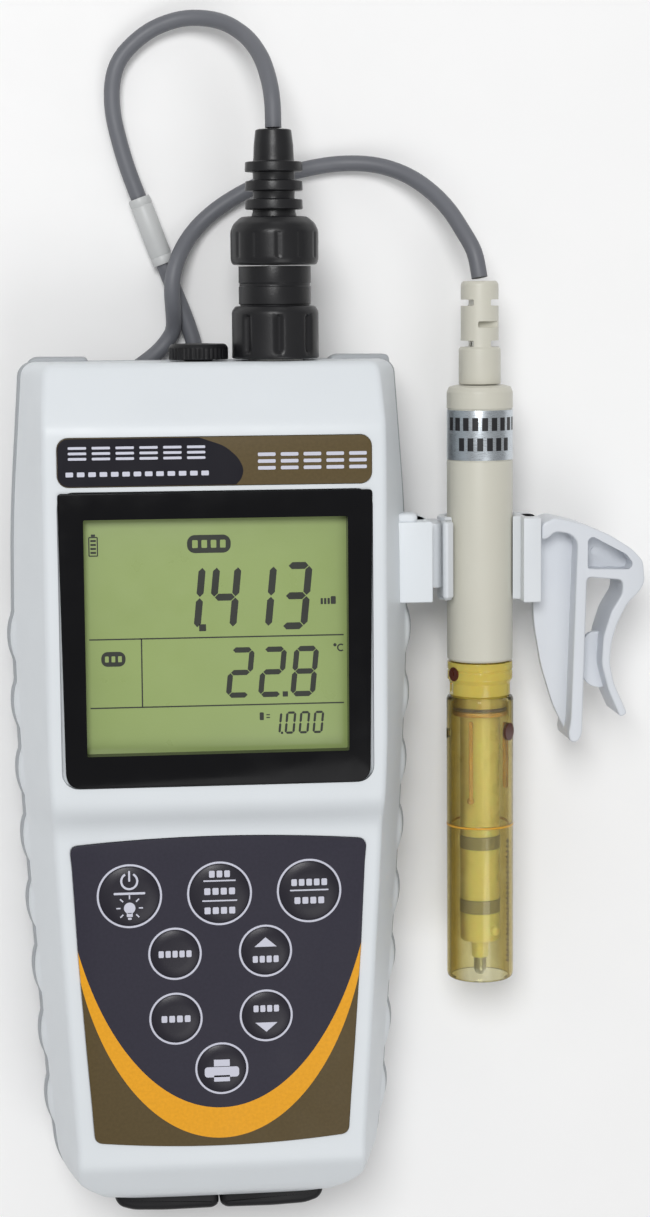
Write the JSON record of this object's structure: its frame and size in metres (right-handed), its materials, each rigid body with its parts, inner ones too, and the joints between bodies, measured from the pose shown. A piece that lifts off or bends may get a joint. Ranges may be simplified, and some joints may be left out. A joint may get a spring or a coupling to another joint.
{
  "type": "conductivity meter with probe",
  "caption": "Handheld water conductivity meter lying on its back, with a cabled probe held in a side clip and a hook for a beaker's rim.",
  "frame": {"origin": "on the flat land of the case's back, under the middle of the case", "axes": "+X to the keypad's right, towards the probe; +Y along the case towards the connectors; +Z out of the display"},
  "size_m": [0.1418, 0.2695, 0.0447],
  "materials": {
    "case": "satin, light grey-white",
    "bezel": "polished black",
    "lens": "clear",
    "lcd": "grey-green display",
    "board": "satin",
    "keypad": "satin printed film",
    "steel": "satin",
    "rubber": "matte black",
    "connector": "satin black",
    "cell": "satin sleeve",
    "probe": "satin beige-grey",
    "label": "satin foil",
    "amber": "polished translucent amber",
    "guard": "clear amber",
    "graphite": "matte",
    "clip": "satin",
    "cable": "satin grey sheath",
    "marker": "matte sleeve"
  },
  "bodies": {
    "root": {"front_housing": "case", "rear_housing": "case", "housing_gasket": "rubber", "display_bezel": "bezel", "display_lens": "lens", "lcd_panel": "lcd", "lcd_backlight": "board", "name_plate": "bezel", "keypad_overlay": "keypad", "dome_sheet": "steel", "main_board": "board", "battery_cell_1": "cell", "battery_cell_2": "cell", "battery_cell_3": "cell", "battery_contact_lower": "steel", "battery_contact_upper": "steel", "battery_cover": "case", "battery_cover_gasket": "rubber", "cover_screw_1": "steel", "cover_screw_2": "steel", "housing_screw_1": "steel", "housing_screw_2": "steel", "housing_screw_3": "steel", "housing_screw_4": "steel", "end_bumper_left": "rubber", "end_bumper_right": "rubber", "panel_socket": "steel", "socket_insert": "connector", "socket_nut": "steel", "port_jack": "connector", "plug_body": "connector", "plug_collar": "connector", "plug_boot": "rubber", "side_bracket": "case", "probe_clip": "clip", "cable_loop_a": "cable", "cable_loop_b": "cable", "cable_coil": "cable", "cable_marker": "marker", "coil_tie": "rubber"},
    "probe": {"probe_boot": "probe", "probe_handle": "probe", "probe_label": "label", "probe_collar": "amber", "probe_core": "amber", "electrode_band_upper": "graphite", "electrode_band_lower": "graphite", "sensor_tip": "steel"},
    "guard": {"probe_guard": "guard"},
    "beaker_hook": {"beaker_clip": "clip"},
    "locking_ring": {"plug_locking_ring": "connector"},
    "cap": {"port_cap": "rubber"},
    "power_button": {"key_power": "keypad"},
    "cal_button": {"key_cal": "keypad"},
    "enter_button": {"key_enter": "keypad"},
    "setup_button": {"key_setup": "keypad"},
    "up_button": {"key_up": "keypad"},
    "mode_button": {"key_mode": "keypad"},
    "down_button": {"key_down": "keypad"},
    "print_button": {"key_print": "keypad"}
  },
  "joints": [
    {"name": "probe_slide", "type": "slide", "parent": "root", "child": "probe", "axis": [0, 1, 0], "range_m": [-0.012, 0.014], "deforming": ["cable_loop_b"]},
    {"name": "guard_slide", "type": "slide", "parent": "probe", "child": "guard", "axis": [0, -1, 0], "range_m": [0, 0.066]},
    {"name": "beaker_clip_slide", "type": "slide", "parent": "root", "child": "beaker_hook", "axis": [0, 1, 0], "range_m": [0, 0.018]},
    {"name": "locking_ring_turn", "type": "hinge", "parent": "root", "child": "locking_ring", "pos_m": [0.0146, 0.0995, 0.027], "axis": [0, 1, 0], "range_deg": [0, 90]},
    {"name": "port_cap_pull", "type": "slide", "parent": "root", "child": "cap", "axis": [0, 1, 0], "range_m": [0, 0.006]},
    {"name": "power_press", "type": "slide", "parent": "root", "child": "power_button", "axis": [0, 0, -1], "range_m": [0, 0.0005], "stiffness_N_per_m": 1200},
    {"name": "cal_press", "type": "slide", "parent": "root", "child": "cal_button", "axis": [0, 0, -1], "range_m": [0, 0.0005], "stiffness_N_per_m": 1200},
    {"name": "enter_press", "type": "slide", "parent": "root", "child": "enter_button", "axis": [0, 0, -1], "range_m": [0, 0.0005], "stiffness_N_per_m": 1200},
    {"name": "setup_press", "type": "slide", "parent": "root", "child": "setup_button", "axis": [0, 0, -1], "range_m": [0, 0.0005], "stiffness_N_per_m": 1200},
    {"name": "up_press", "type": "slide", "parent": "root", "child": "up_button", "axis": [0, 0, -1], "range_m": [0, 0.0005], "stiffness_N_per_m": 1200},
    {"name": "mode_press", "type": "slide", "parent": "root", "child": "mode_button", "axis": [0, 0, -1], "range_m": [0, 0.0005], "stiffness_N_per_m": 1200},
    {"name": "down_press", "type": "slide", "parent": "root", "child": "down_button", "axis": [0, 0, -1], "range_m": [0, 0.0005], "stiffness_N_per_m": 1200},
    {"name": "print_press", "type": "slide", "parent": "root", "child": "print_button", "axis": [0, 0, -1], "range_m": [0, 0.0005], "stiffness_N_per_m": 1200}
  ]
}
